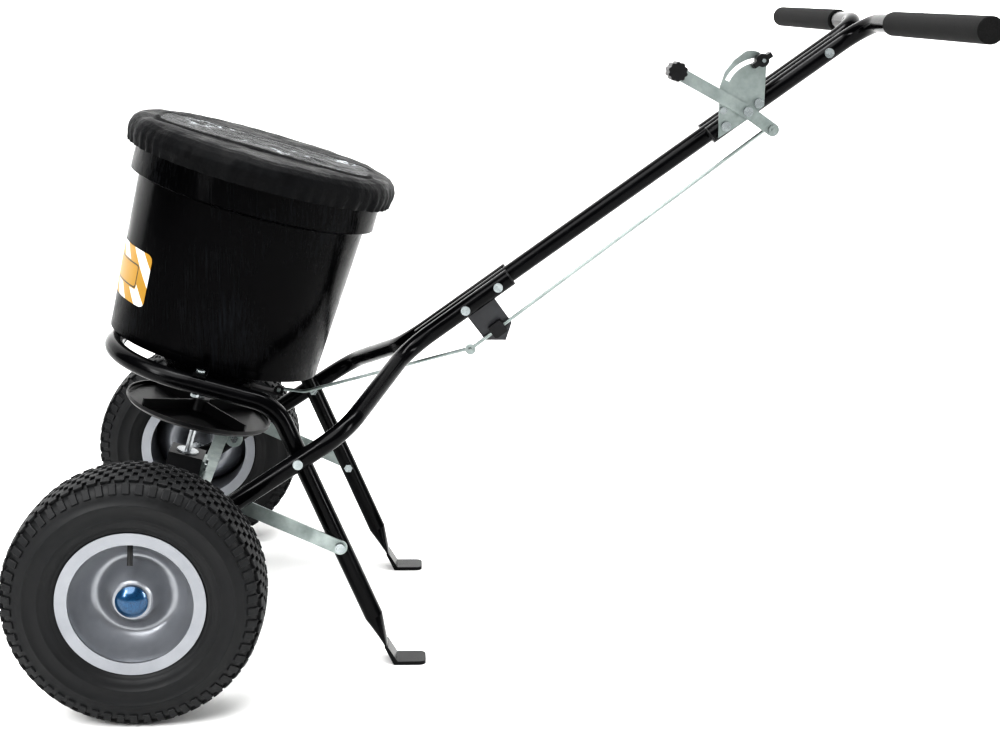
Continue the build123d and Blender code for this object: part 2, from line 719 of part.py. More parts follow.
stop_point = (slot_centre[0] + slot_radius * cos(radians(slot_start)),
              slot_centre[1] + slot_radius * sin(radians(slot_start)))
screw_radius = slot_width / 2 - 0.4
with BuildPart() as stop_screw:
    with BuildSketch(side_plane(plate_face + 0.4)):
        with Locations(stop_point):
            RegularPolygon(bolt_head_radius, 6)
    extrude(amount=-bolt_head_height)
    with BuildSketch(side_plane(plate_face + 0.4)):
        with Locations(stop_point):
            Circle(screw_radius)
    extrude(amount=28)
stop_screw.part.label = "stop_screw"
export_step(stop_screw.part, "parts/stop_screw.step")

with BuildPart() as wing_knob:
    with BuildSketch(side_plane(plate_face - plate_thickness - 0.4)):
        with Locations(stop_point):
            Circle(9)
            with Locations(Location((0, 0), 35)):
                Rectangle(30, 7)
            Circle(screw_radius, mode=Mode.SUBTRACT)
    extrude(amount=17)
wing_knob.part.label = "wing_knob"
export_step(wing_knob.part, "parts/wing_knob.step")

# ---------------------------------------------------------------- rain cover
with BuildPart() as rain_cover:
    with BuildSketch(section):
        with BuildLine():
            skirt = rim_radius + 7
            Polyline((0, rim_up), (rim_radius + 2, rim_up), (cover_radius - cover_cloth, rim_up - 14),
                     (skirt, cover_hem_up), (skirt + cover_cloth, cover_hem_up), (cover_radius, rim_up - 14),
                     (rim_radius + 3, rim_up + cover_cloth), (0, rim_up + cover_cloth), close=True)
        make_face()
    revolve(axis=spin_axis)
    with BuildSketch(level(rim_up)):
        with Locations((0, -15)):
            window = RectangleRounded(300, 150, 30)
    extrude(amount=cover_cloth, mode=Mode.SUBTRACT)
rain_cover.part.label = "rain_cover"
export_step(rain_cover.part, "parts/rain_cover.step")

with BuildPart() as cover_window:
    with BuildSketch(level(rim_up + cover_cloth / 4)):
        with Locations((0, -15)):
            RectangleRounded(300, 150, 30)
    extrude(amount=cover_cloth / 2)
cover_window.part.label = "cover_window"
export_step(cover_window.part, "parts/cover_window.step")

# ---------------------------------------------------------------- gearbox, shaft and spinner
bearing_radius = 16.0
bearing_depth = 12.0
box_bolt_points = ((-12, bar_up + 14), (12, bar_up + 14))
neck_back = Plane(origin=leaning(neck_face, 0, 0), x_dir=(0, 1, 0), z_dir=back_dir)
for s, side in sides:
    with BuildPart() as gearbox_half:
        with BuildSketch(section):
            Circle(box_radius)
            Rectangle(2 * neck_half, boss_up, align=(Align.CENTER, Align.MIN))
        extrude(amount=-s * neck_half)
        with BuildSketch(section):
            Circle(box_radius - box_wall)
        extrude(amount=-s * (neck_half - box_wall), mode=Mode.SUBTRACT)
        with BuildSketch(section):
            Circle(axle_radius + running_gap)
        extrude(amount=-s * neck_half, mode=Mode.SUBTRACT)
        with BuildSketch(level(0)):
            Circle(shaft_radius + running_gap)
        extrude(amount=boss_up, mode=Mode.SUBTRACT)
        with BuildSketch(level(boss_up - bearing_depth)):
            Circle(bearing_radius)
        extrude(amount=bearing_depth, mode=Mode.SUBTRACT)
        with BuildSketch(neck_back):
            with Locations(*box_bolt_points):
                Circle(tab_bolt_radius)
        extrude(amount=-8, mode=Mode.SUBTRACT)
    gearbox_half.part.label = f"gearbox_{side}"
    export_step(gearbox_half.part, f"parts/gearbox_{side}.step")

with BuildPart() as gearbox_bolts:
    with BuildSketch(neck_back.offset(-8)):
        with Locations(*box_bolt_points):
            Circle(tab_bolt_radius)
    extrude(amount=8 + bar_thickness)
    with BuildSketch(neck_back.offset(bar_thickness)):
        with Locations(*box_bolt_points):
            RegularPolygon(5.5, 6)
    extrude(amount=3.5)
gearbox_bolts.part.label = "gearbox_bolts"
export_step(gearbox_bolts.part, "parts/gearbox_bolts.step")

with BuildPart() as shaft_bearing:
    with BuildSketch(level(boss_up - bearing_depth)):
        Circle(bearing_radius)
        Circle(shaft_radius + running_gap, mode=Mode.SUBTRACT)
    extrude(amount=bearing_depth + 2)
shaft_bearing.part.label = "shaft_bearing"
export_step(shaft_bearing.part, "parts/shaft_bearing.step")

with BuildPart() as spinner_shaft:
    with BuildSketch(level(shaft_low)):
        Circle(shaft_radius)
    extrude(amount=shaft_high - shaft_low)
spinner_shaft.part.label = "spinner_shaft"
export_step(spinner_shaft.part, "parts/spinner_shaft.step")

with BuildPart() as spinner_disc:
    with BuildSketch(section):
        with BuildLine():
            Polyline((shaft_radius, disc_up), (disc_radius - 4, disc_up), (disc_radius, disc_up + 4),
                     (disc_radius, disc_up + 9), (disc_radius - disc_thickness, disc_up + 9),
                     (disc_radius - disc_thickness, disc_up + 5),
                     (disc_radius - 5, disc_up + disc_thickness), (14, disc_up + disc_thickness),
                     (12, disc_up + vane_height + 4), (shaft_radius, disc_up + vane_height + 4), close=True)
        make_face()
    revolve(axis=spin_axis)
    with BuildSketch(level(disc_up + disc_thickness / 2)):
        with PolarLocations(disc_radius * 0.54, vane_count, start_angle=45):
            Rectangle(disc_radius * 0.88, disc_thickness)
    extrude(amount=vane_height)
    with BuildSketch(level(disc_up)):
        Circle(shaft_radius)
    extrude(amount=2 * vane_height, mode=Mode.SUBTRACT)
spinner_disc.part.label = "spinner_disc"
export_step(spinner_disc.part, "parts/spinner_disc.step")

with BuildPart() as agitator:
    with BuildSketch(section.offset(-28)):
        with Locations((0, hopper_floor_up + 16)):
            Circle(2.5)
    extrude(amount=56)
    with BuildSketch(level(hopper_floor_up + 11)):
        Circle(8)
    extrude(amount=10)
    with BuildSketch(level(hopper_floor_up + 8)):
        Circle(shaft_radius)
    extrude(amount=20, mode=Mode.SUBTRACT)
agitator.part.label = "agitator"
export_step(agitator.part, "parts/agitator.step")

# a trapezoidal tooth, the same on both gears, and the mesh height above the axle
mesh_low = crown_pitch_radius - gear_face / 2
tooth_taper = 0.9
half_root = tooth_thickness / 2 + tooth_taper
half_tip = tooth_thickness / 2 - tooth_taper
with BuildPart() as pinion:
    root = pinion_pitch_radius - tooth_dedendum
    tip = pinion_pitch_radius + tooth_addendum
    with BuildSketch(level(mesh_low)):
        Circle(root)
        with PolarLocations(0, pinion_teeth, start_angle=90):
            Polygon((root - 1, half_root), (tip, half_tip), (tip, -half_tip), (root - 1, -half_root),
                    align=None)
        Circle(shaft_radius, mode=Mode.SUBTRACT)
    extrude(amount=gear_face)
pinion.part.label = "pinion"
export_step(pinion.part, "parts/pinion.step")

crown_base = pinion_pitch_radius + tooth_dedendum
crown_back = 3.5
crown_hub_radius = 14.0
crown_hub_face = 7.0
crown_rim = crown_pitch_radius + gear_face / 2 + 1
with BuildPart() as crown_gear:
    with BuildSketch(section.offset(-crown_base)):
        Circle(crown_rim)
    extrude(amount=-crown_back)
    with BuildSketch(section.offset(-crown_hub_face)):
        Circle(crown_hub_radius)
    extrude(amount=crown_hub_face - crown_base)
    # each tooth narrows towards its tip; a gap, not a tooth, faces the pinion
    with BuildSketch(section.offset(-crown_base)):
        with PolarLocations(crown_pitch_radius, crown_teeth, start_angle=90 + 180 / crown_teeth):
            Rectangle(gear_face + 2, tooth_thickness + 2 * tooth_taper)
    tooth_height = tooth_addendum + tooth_dedendum - 0.2
    extrude(amount=tooth_height, taper=degrees(atan2(1.6 * tooth_taper, tooth_height)))
    with BuildSketch(section):
        Circle(axle_radius)
    extrude(amount=-crown_base - crown_back, mode=Mode.SUBTRACT)
    drive_pin_plane = level(-crown_hub_radius - 1)
    with BuildSketch(drive_pin_plane):
        with Locations((0, crown_hub_face + 4)):
            Circle(2)
    extrude(amount=2 * crown_hub_radius + 2, mode=Mode.SUBTRACT)
crown_gear.part.label = "crown_gear"
export_step(crown_gear.part, "parts/crown_gear.step")

with BuildPart() as drive_pin:
    with BuildSketch(drive_pin_plane):
        with Locations((0, crown_hub_face + 4)):
            Circle(2)
    extrude(amount=2 * crown_hub_radius + 2)
drive_pin.part.label = "drive_pin"
export_step(drive_pin.part, "parts/drive_pin.step")

# ---------------------------------------------------------------- axle and wheels
hub_out = 31.0
axle_half = track_half + hub_out + 3
collar_out = side_half + ear_thickness / 2 + 5
with BuildPart() as axle:
    with BuildSketch(section):
        Circle(axle_radius)
    extrude(amount=axle_half, both=True)
    with BuildSketch(drive_pin_plane):
        with Locations((0, crown_hub_face + 4)):
            Circle(2)
    extrude(amount=2 * crown_hub_radius + 2, mode=Mode.SUBTRACT)
axle.part.label = "axle"
export_step(axle.part, "parts/axle.step")

with BuildPart() as axle_collars:
    for s, _ in sides:
        for start, length in ((collar_out, 9), (track_half - rim_half_width - 10, 9.5)):
            with BuildSketch(section.offset(-s * start)):
                Circle(hub_radius)
                Circle(axle_radius, mode=Mode.SUBTRACT)
            extrude(amount=-s * length)
    # push-on ring that keeps the free wheel on the axle's end
    with BuildSketch(section.offset(-track_half - hub_out - 0.5)):
        Circle(12)
        Circle(axle_radius, mode=Mode.SUBTRACT)
    extrude(amount=-2)
axle_collars.part.label = "axle_collars"
export_step(axle_collars.part, "parts/axle_collars.step")

cap_radius = 20.5
cap_dome = 27.85
for s, side in sides:
    plane = wheel_plane(s)
    stem_plane = Plane(origin=(axle_x, s * (track_half + 27), wheel_radius + rim_seat_radius - rim_sheet),
                       x_dir=(1, 0, 0), z_dir=(0, s * 0.34, -0.94))
    with BuildPart() as rim:
        with BuildSketch(plane):
            # barrel with its two flanges
            with BuildLine():
                w, r, t = rim_half_width, rim_seat_radius, rim_sheet
                Polyline((-w, rim_flange_radius), (-w, r - t), (w, r - t), (w, rim_flange_radius),
                         (w - t, rim_flange_radius), (w - t, r), (t - w, r), (t - w, rim_flange_radius),
                         close=True)
            make_face()
            # dished disc between the barrel and the hub
            with BuildLine():
                front = Spline((w - 3, r - 1), (25, 71), (6, 60), (0, 50), (3, 42), (16, 32), (29, 26))
                Line((29, 26), (hub_out, 24))
                Line((hub_out, 24), (hub_out, hub_radius))
                Line((hub_out, hub_radius), (hub_out - t, hub_radius))
                Line((hub_out - t, hub_radius), (hub_out - t, 23))
                Line((hub_out - t, 23), (27, 25))
                Spline((27, 25), (14, 31), (1, 41), (-2, 50), (4, 62), (23, 73), (w - 5, r - 0.4))
                Line((w - 5, r - 0.4), (w - 3, r - 1))
            make_face()
        revolve(axis=wheel_axis)
        with BuildSketch(stem_plane):
            Circle(3.5)
        extrude(amount=12, both=True, mode=Mode.SUBTRACT)
    rim.part.label = f"rim_{side}"
    export_step(rim.part, f"parts/rim_{side}.step")

    with BuildPart() as valve_stem:
        with BuildSketch(stem_plane.offset(-1)):
            Circle(3.5)
        extrude(amount=32)
    valve_stem.part.label = f"valve_stem_{side}"
    export_step(valve_stem.part, f"parts/valve_stem_{side}.step")

    with BuildPart() as tyre:
        with BuildSketch(plane):
            bead = rim_half_width - rim_sheet
            half = tyre_width / 2
            with BuildLine():
                Polyline((-bead, r), (-bead, rim_flange_radius))
                Spline((-bead, rim_flange_radius), (-half, 124), (4 - half, 150), (14 - half, 161))
                ThreePointArc((14 - half, 161), (0, wheel_radius), (half - 14, 161))
                Spline((half - 14, 161), (half - 4, 150), (half, 124), (bead, rim_flange_radius))
                Polyline((bead, rim_flange_radius), (bead, r), (bead - 7, r), (bead - 7, 96))
                Spline((bead - 7, 96), (half - 7, 122), (half - 14, 148), (0, wheel_radius - 9),
                       (14 - half, 148), (7 - half, 122), (7 - bead, 96))
                Polyline((7 - bead, 96), (7 - bead, r), (-bead, r))
            make_face()
        revolve(axis=wheel_axis)
    tyre.part.label = f"tyre_{side}"
    export_step(tyre.part, f"parts/tyre_{side}.step")

    with BuildPart() as hub:
        bore = axle_radius + (running_gap if s > 0 else 0)
        with BuildSketch(plane):
            with BuildLine():
                Polyline((-rim_half_width, bore), (hub_out, bore), (hub_out, hub_radius),
                         (-rim_half_width, hub_radius), close=True)
            make_face()
        revolve(axis=wheel_axis)
    hub.part.label = f"hub_{side}"
    export_step(hub.part, f"parts/hub_{side}.step")

    with BuildPart() as hub_cap:
        with BuildSketch(plane):
            with BuildLine():
                outer = CenterArc((w - cap_dome, 0), cap_dome, 0, degrees(asin(cap_radius / cap_dome)))
                inner = CenterArc((w - cap_dome, 0), cap_dome - 2, 0,
                                  degrees(asin((cap_radius - 2) / (cap_dome - 2))))
                Line(outer @ 0, inner @ 0)
                Polyline(outer @ 1, (hub_out, cap_radius), (hub_out, cap_radius - 2), inner @ 1)
            make_face()
        revolve(axis=wheel_axis)
    hub_cap.part.label = f"hub_cap_{side}"
    export_step(hub_cap.part, f"parts/hub_cap_{side}.step")
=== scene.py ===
# %% [markdown]
# # A garden spreader, dressed for its portrait
# The moving machine is already modelled and packed: tubes, wheels, hopper, gears and levers.
# Here it gets its rubber tread, its cloth cover and its finishes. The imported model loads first,
# and every new piece then rides on one of its bodies.

# %% Load the frame
import json
from math import atan2, cos, degrees, pi, radians, sin, tau

import bmesh
import bpy
from mathutils import Matrix, Vector, noise


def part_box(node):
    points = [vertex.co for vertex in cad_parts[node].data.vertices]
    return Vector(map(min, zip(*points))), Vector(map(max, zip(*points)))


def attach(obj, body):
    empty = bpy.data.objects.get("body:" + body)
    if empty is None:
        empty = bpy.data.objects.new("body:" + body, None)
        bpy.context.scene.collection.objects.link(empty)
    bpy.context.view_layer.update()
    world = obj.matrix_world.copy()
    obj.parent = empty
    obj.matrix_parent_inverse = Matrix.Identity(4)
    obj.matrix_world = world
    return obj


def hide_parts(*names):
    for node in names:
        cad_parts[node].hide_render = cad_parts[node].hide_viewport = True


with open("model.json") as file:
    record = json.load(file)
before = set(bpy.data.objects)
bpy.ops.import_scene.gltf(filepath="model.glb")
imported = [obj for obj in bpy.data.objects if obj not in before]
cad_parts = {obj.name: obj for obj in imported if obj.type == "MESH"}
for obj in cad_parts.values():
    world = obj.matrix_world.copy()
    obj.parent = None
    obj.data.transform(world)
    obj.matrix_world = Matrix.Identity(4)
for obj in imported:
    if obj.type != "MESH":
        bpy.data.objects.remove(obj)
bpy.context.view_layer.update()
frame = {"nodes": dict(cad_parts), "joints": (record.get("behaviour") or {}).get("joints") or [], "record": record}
joints = {joint["name"]: joint for joint in frame["joints"]}

# %% [markdown]
# The hopper and the spinner lean on one line. The spinner's joint says which way that line points,
# and the axle's joint says where it starts, so places on the hopper can be given as
# "out from the line" and "up the line".

# %% Where things are
up = Vector(joints["spinner_turn"]["axis"]).normalized()
back = Vector((up.z, 0, -up.x))
side = Vector((0, 1, 0))
axle = Vector(joints["axle_turn"]["pos_m"])
MM = 0.001


def leaning(out, across, rise):
    """Point in metres from millimetres: out rearward, across to the right, and up the hopper's line."""
    return axle + (back * out + side * across + up * rise) * MM


print("axle at", [round(x, 3) for x in axle])

# %% [markdown]
# ## The camera
# A long lens a couple of metres away, a little above the handle, looks slightly down on the machine.
# The camera is built from three directions at right angles: where it looks, its right and its up.

# %% Camera
yaw, pitch, roll = 0.0658, 0.2279, 0.018
look = Vector((sin(yaw) * cos(pitch), cos(yaw) * cos(pitch), -sin(pitch)))
right = Vector((cos(yaw), -sin(yaw), 0))
rise = right.cross(look)
right_rolled = cos(roll) * right + sin(roll) * rise
rise_rolled = cos(roll) * rise - sin(roll) * right
camera = bpy.data.objects.new("camera", bpy.data.cameras.new("camera"))
camera.data.lens = 57.86
camera.data.sensor_width = 36.0
camera.matrix_world = Matrix((right_rolled, rise_rolled, -look)).transposed().to_4x4()
camera.location = Vector((axle.x + 0.3293, -2.2943, 0.9132))
bpy.context.scene.collection.objects.link(camera)
bpy.context.scene.camera = camera
print("camera stands", round((camera.location - axle).length, 2), "m from the axle")

# %% [markdown]
# ## Floor and light
# A pale sweep and broad, soft lamps. Black paint shows only what it reflects, so the lamps' shapes
# matter more than their strength: each one leaves a long bright line on a tube.


# %% Colour
def linear(code):
    """An sRGB hex colour such as "#a9b8b4" as linear red, green, blue and alpha."""
    parts = [int(code[i:i + 2], 16) / 255 for i in (1, 3, 5)]
    return tuple(c / 12.92 if c <= 0.04045 else ((c + 0.055) / 1.055) ** 2.4 for c in parts) + (1.0,)


# %% Node and material helpers
def add(tree, kind, settings=None, **inputs):
    """Add one node: settings are its own options, inputs are values or (node, output) links.

    An input is named by its label, or by its number as i0, i1 and so on.
    """
    made = tree.nodes.new(kind)
    for name, value in (settings or {}).items():
        setattr(made, name, value)
    for name, value in inputs.items():
        numbered = name[0] == "i" and name[1:].isdigit()
        socket = made.inputs[int(name[1:])] if numbered else made.inputs[name.replace("_", " ")]
        if isinstance(value, tuple) and value and isinstance(value[0], bpy.types.Node):
            tree.links.new(value[0].outputs[value[1]], socket)
        else:
            socket.default_value = value
    return made


def surface(name, colour, **values):
    """A new material with one Principled shader, its colour and its plain values."""
    made = bpy.data.materials.new(name)
    made.use_nodes = True
    shader = made.node_tree.nodes["Principled BSDF"]
    shader.inputs["Base Color"].default_value = linear(colour)
    for key, value in values.items():
        shader.inputs[key.replace("_", " ")].default_value = value
    return made, made.node_tree, shader


def place(tree, stretch=(1, 1, 1)):
    """Object coordinates in metres, stretched so that a pattern can be drawn out along one way."""
    source = add(tree, "ShaderNodeTexCoord")
    return add(tree, "ShaderNodeMapping", i0=(source, "Object"), Scale=stretch)


def speckle(tree, where, grain_mm, detail=3.0, rough=0.5):
    """Noise whose grains are about that many millimetres across."""
    return add(tree, "ShaderNodeTexNoise", Vector=(where, "Vector"), Scale=1000 / grain_mm / 2,
               Detail=detail, Roughness=rough)


def between(tree, source, low, high, start=0.3, end=0.7):
    """Turn a pattern's 0 to 1 into values from low to high."""
    return add(tree, "ShaderNodeMapRange", i0=(source, 0), i1=start, i2=end, i3=low, i4=high)


def tint(tree, shader, source, dark, light, start=0.3, end=0.7):
    """Let a pattern move the colour between two hex colours."""
    ramp = add(tree, "ShaderNodeValToRGB", i0=(source, 0))
    ramp.color_ramp.elements[0].position, ramp.color_ramp.elements[1].position = start, end
    ramp.color_ramp.elements[0].color, ramp.color_ramp.elements[1].color = linear(dark), linear(light)
    tree.links.new(ramp.outputs[0], shader.inputs["Base Color"])
    return ramp


def relief(tree, shader, source, height_mm, strength=1.0):
    """Use a pattern as small heights on the surface."""
    bump = add(tree, "ShaderNodeBump", Height=(source, 0), Distance=height_mm * MM, Strength=strength)
    tree.links.new(bump.outputs[0], shader.inputs["Normal"])


def roughen(tree, shader, source, low, high, start=0.3, end=0.7):
    """Let a pattern move the roughness from low to high."""
    tree.links.new(between(tree, source, low, high, start, end).outputs[0], shader.inputs["Roughness"])


print("helpers ready")

# %% Floor and wall
backdrop_half = 160
wall_back = 60
floor_drop = 0.0006


def backdrop(name, stands, finish):
    """A big square sheet in metres, placed by a matrix."""
    shape = bmesh.new()
    bmesh.ops.create_grid(shape, x_segments=1, y_segments=1, size=backdrop_half, matrix=stands)
    mesh = bpy.data.meshes.new(name)
    shape.to_mesh(mesh)
    shape.free()
    mesh.materials.append(finish)
    sheet = bpy.data.objects.new(name, mesh)
    bpy.context.scene.collection.objects.link(sheet)
    return sheet


paper, tree, shader = surface("Pale paper sweep", "#f4f4f3", Roughness=0.9)
tint(tree, shader, speckle(tree, place(tree), 60), "#f3f3f2", "#f6f6f5")
glow, tree, shader = surface("Lit pale wall", "#f4f4f3", Roughness=0.9, Emission_Strength=0.9)
shader.inputs["Emission Color"].default_value = linear("#fbfbfb")
floor = backdrop("floor", Matrix.Identity(4), paper)
floor.location.z = -floor_drop
wall = backdrop("wall", Matrix.Translation((0, wall_back, 0)) @ Matrix.Rotation(radians(90), 4, "X"), glow)

# %% Lamps
world = bpy.data.worlds.new("studio air")
world.use_nodes = True
world.node_tree.nodes["Background"].inputs[0].default_value = linear("#f7f8fa")
world.node_tree.nodes["Background"].inputs[1].default_value = 0.2
bpy.context.scene.world = world
bpy.context.scene.view_settings.view_transform = "Standard"
bpy.context.scene.view_settings.look = "High Contrast"


def lamp(name, spot, aim, width, height, watts):
    """A rectangular soft box that faces its aim."""
    light = bpy.data.objects.new(name, bpy.data.lights.new(name, "AREA"))
    light.data.shape = "RECTANGLE"
    light.data.size, light.data.size_y = width, height
    light.data.energy = watts
    light.location = spot
    light.rotation_euler = (Vector(aim) - Vector(spot)).to_track_quat("-Z", "Y").to_euler()
    bpy.context.scene.collection.objects.link(light)


lamp("overhead box", (0.1, -0.2, 2.4), (0, 0, 0.3), 1.5, 0.5, 30)
lamp("front box", (-2.0, -2.0, 1.6), (-0.3, 0, 0.3), 0.5, 1.5, 34)
lamp("right box", (2.4, -1.5, 1.2), (0.0, 0, 0.4), 0.5, 1.6, 30)
sky = bpy.data.objects.new("high sun", bpy.data.lights.new("high sun", "SUN"))
sky.data.energy = 2.75
sky.data.angle = radians(50)
sky.rotation_euler = (radians(28), radians(-16), 0)
bpy.context.scene.collection.objects.link(sky)
print("three soft boxes and one broad high light")

# %% [markdown]
# ## Finishes
# **Powder-coated tube.** The frame's steel tube is sprayed with black powder and baked. It flows out
# glossy but never quite flat: a fine orange-peel ripple of about three millimetres bends each highlight.

# %% Gloss black powder coat
powder, tree, shader = surface("Gloss black powder coat", "#08080a", Roughness=0.16, Specular_IOR_Level=0.14)
peel = speckle(tree, place(tree), 3.2, 2.0)
wear = speckle(tree, place(tree), 26, 5.0, 0.65)
roughen(tree, shader, wear, 0.12, 0.27)
tint(tree, shader, wear, "#030304", "#09090b")
relief(tree, shader, peel, 0.06, 0.5)

# %% [markdown]
# **Zinc plate.** Flat steel parts are dipped in a zinc bath. The coat is thin, slightly green-grey
# and cloudy, with clouds one or two centimetres across and a fine rolled grain under them.

# %% Dull zinc plate
zinc, tree, shader = surface("Passivated zinc plate", "#a9b8b4", Metallic=0.85, Roughness=0.4)
cloud = speckle(tree, place(tree), 14, 4.0, 0.6)
tint(tree, shader, cloud, "#7b8381", "#98a09e")
roughen(tree, shader, cloud, 0.46, 0.3)
relief(tree, shader, speckle(tree, place(tree, (1, 8, 8)), 1.6), 0.04, 0.4)

# %% Bright zinc for bolts
bright, tree, shader = surface("Bright zinc bolt", "#c9cfd0", Metallic=0.95, Roughness=0.22)
cloud = speckle(tree, place(tree), 5, 3.0)
tint(tree, shader, cloud, "#83898a", "#a4aaab")
roughen(tree, shader, cloud, 0.17, 0.34)

# %% [markdown]
# **Wheel rim.** Two pressed steel halves, sprayed with fine aluminium flake under clear lacquer.
# The dish mirrors the room as soft blurred shapes, and brake dust and dirt dull it in patches.

# %% Silver rim lacquer
rim_silver, tree, shader = surface("Silver lacquered pressed steel", "#c4c7ca", Metallic=0.75, Roughness=0.3,
                                   Coat_Weight=0.1, Coat_Roughness=0.15)
flake = speckle(tree, place(tree), 1.2, 2.0)
haze = speckle(tree, place(tree), 30, 4.0, 0.6)
tint(tree, shader, haze, "#84868a", "#929498")
roughen(tree, shader, haze, 0.3, 0.38)
relief(tree, shader, flake, 0.02, 0.1)

# %% [markdown]
# **Rubber, foam and nylon.** Tyre rubber is nearly black with a dry, slightly blue bloom.
# The grips are closed-cell foam, charcoal and matt, with cells about two millimetres across.

# %% Tyre rubber
rubber, tree, shader = surface("Moulded tyre rubber", "#17181a", Roughness=0.55, Specular_IOR_Level=0.35)
bloom = speckle(tree, place(tree), 22, 5.0, 0.65)
tint(tree, shader, bloom, "#08090a", "#101113")
roughen(tree, shader, bloom, 0.46, 0.66)
relief(tree, shader, speckle(tree, place(tree), 1.4, 3.0), 0.08, 0.5)

# %% Foam grip
foam, tree, shader = surface("Closed-cell foam", "#2a2a2a", Roughness=0.88, Specular_IOR_Level=0.3)
cell = add(tree, "ShaderNodeTexVoronoi", Vector=(place(tree), "Vector"), Scale=520.0)
tint(tree, shader, cell, "#121212", "#070707", 0.0, 0.8)
relief(tree, shader, cell, 0.25, 0.55)

# %% Small moulded parts
nylon_black, tree, shader = surface("Glass-filled black nylon", "#141415", Roughness=0.42,
                                    Specular_IOR_Level=0.3)
grain = speckle(tree, place(tree), 0.9, 2.0)
tint(tree, shader, speckle(tree, place(tree), 12), "#0b0b0c", "#141416")
relief(tree, shader, grain, 0.06, 0.6)
nylon_white, tree, shader = surface("Natural nylon", "#d9d3c4", Roughness=0.4, Subsurface_Weight=0.1)
tint(tree, shader, speckle(tree, place(tree), 6), "#cfc8b6", "#e2dccd")
valve_rubber, tree, shader = surface("Valve rubber", "#131313", Roughness=0.5)
relief(tree, shader, speckle(tree, place(tree), 1.0), 0.05, 0.5)
grey_paint, tree, shader = surface("Satin grey paint", "#2c2d30", Roughness=0.38)
tint(tree, shader, speckle(tree, place(tree), 18, 4.0), "#26272a", "#38393c")
steel, tree, shader = surface("Machined steel", "#a3a6a8", Metallic=1.0, Roughness=0.3)
roughen(tree, shader, speckle(tree, place(tree, (1, 30, 1)), 2.0), 0.24, 0.42)

# %% [markdown]
# **Hub cap.** A steel dome in deep metallic blue: tiny flakes under a thick clear coat.

# %% Blue metallic lacquer
blue, tree, shader = surface("Blue metallic lacquer", "#10608f", Metallic=0.55, Roughness=0.28,
                             Coat_Weight=0.8, Coat_Roughness=0.05)
sparkle = add(tree, "ShaderNodeTexVoronoi", Vector=(place(tree), "Vector"), Scale=1400.0)
tint(tree, shader, sparkle, "#0f5a85", "#062c47", 0.1, 0.7)

# %% [markdown]
# **Hopper.** Polyethylene, moulded in a polished tool. Handling leaves it covered with fine scuffs that
# mostly run up and down, so the noise is drawn out along the hopper's line. The pattern's axes are
# turned to that line first.

# %% Scuffed hopper plastic
lean_angle = -joints["spinner_turn"]["axis"][0]
hopper_plastic, tree, shader = surface("Polished black polyethylene", "#0b0c0e", Roughness=0.2,
                                       Specular_IOR_Level=0.07)
source = add(tree, "ShaderNodeTexCoord")
upright = add(tree, "ShaderNodeMapping", i0=(source, "Object"), Rotation=(0, lean_angle, 0),
              Scale=(1, 1, 0.06))
scuff = add(tree, "ShaderNodeTexNoise", Vector=(upright, "Vector"), Scale=260.0, Detail=4.0, Roughness=0.7)
smear = speckle(tree, place(tree), 55, 4.0, 0.6)
both = add(tree, "ShaderNodeMath", {"operation": "MULTIPLY"}, i0=(scuff, 0), i1=(smear, 0))
tint(tree, shader, both, "#030304", "#15171a", 0.26, 0.46)
roughen(tree, shader, both, 0.16, 0.46, 0.18, 0.42)
relief(tree, shader, scuff, 0.05, 0.3)

# %% [markdown]
# **Cover cloth.** Black nylon with a rubbery coat: a close weave that glints where it is drawn tight.
# Threads are about half a millimetre apart, drawn here at two millimetres so that they show at all.

# %% Coated nylon cloth
cloth, tree, shader = surface("Coated nylon cloth", "#101114", Roughness=0.5, Specular_IOR_Level=0.12)
weave = place(tree)
warp = add(tree, "ShaderNodeTexWave", {"bands_direction": "X"}, Vector=(weave, "Vector"), Scale=160.0)
weft = add(tree, "ShaderNodeTexWave", {"bands_direction": "Y"}, Vector=(weave, "Vector"), Scale=160.0)
crossed = add(tree, "ShaderNodeMath", {"operation": "ADD"}, i0=(warp, 0), i1=(weft, 0))
fold_pattern_and_shade = speckle(tree, weave, 16, 6.0, 0.6)
# Painted shade: the fold pattern darkens the cloth where the folds sink and lightens it on their tops.
tint(tree, shader, fold_pattern_and_shade, "#020203", "#0b0c0e")
roughen(tree, shader, fold_pattern_and_shade, 0.4, 0.7)
fine = add(tree, "ShaderNodeBump", Height=(crossed, 0), Distance=0.00008, Strength=0.5)
folds = add(tree, "ShaderNodeBump", Height=(fold_pattern_and_shade, 0), Distance=0.005, Strength=0.8, Normal=(fine, 0))
tree.links.new(folds.outputs[0], shader.inputs["Normal"])

# %% Clear vinyl window
vinyl, tree, shader = surface("Crumpled clear vinyl", "#9aa3a8", Roughness=0.3, IOR=1.45, Alpha=0.7,
                              Specular_IOR_Level=0.06)
lie = place(tree)
stray = speckle(tree, lie, 34, 5.0, 0.7)
bent_lie = add(tree, "ShaderNodeVectorMath", {"operation": "MULTIPLY_ADD"}, i0=(stray, 1),
               i1=(0.09, 0.09, 0.09), i2=(lie, 0))
crumple = add(tree, "ShaderNodeTexVoronoi", {"feature": "DISTANCE_TO_EDGE"}, Vector=(bent_lie, 0), Scale=17.0)
ripple = speckle(tree, lie, 9, 4.0, 0.6)
calm = between(tree, speckle(tree, lie, 28, 2.0), 0.0, 0.07, 0.4, 0.55)
painted_crease_highlight = add(tree, "ShaderNodeMath", {"operation": "ADD"}, i0=(crumple, 0), i1=(calm, 0))
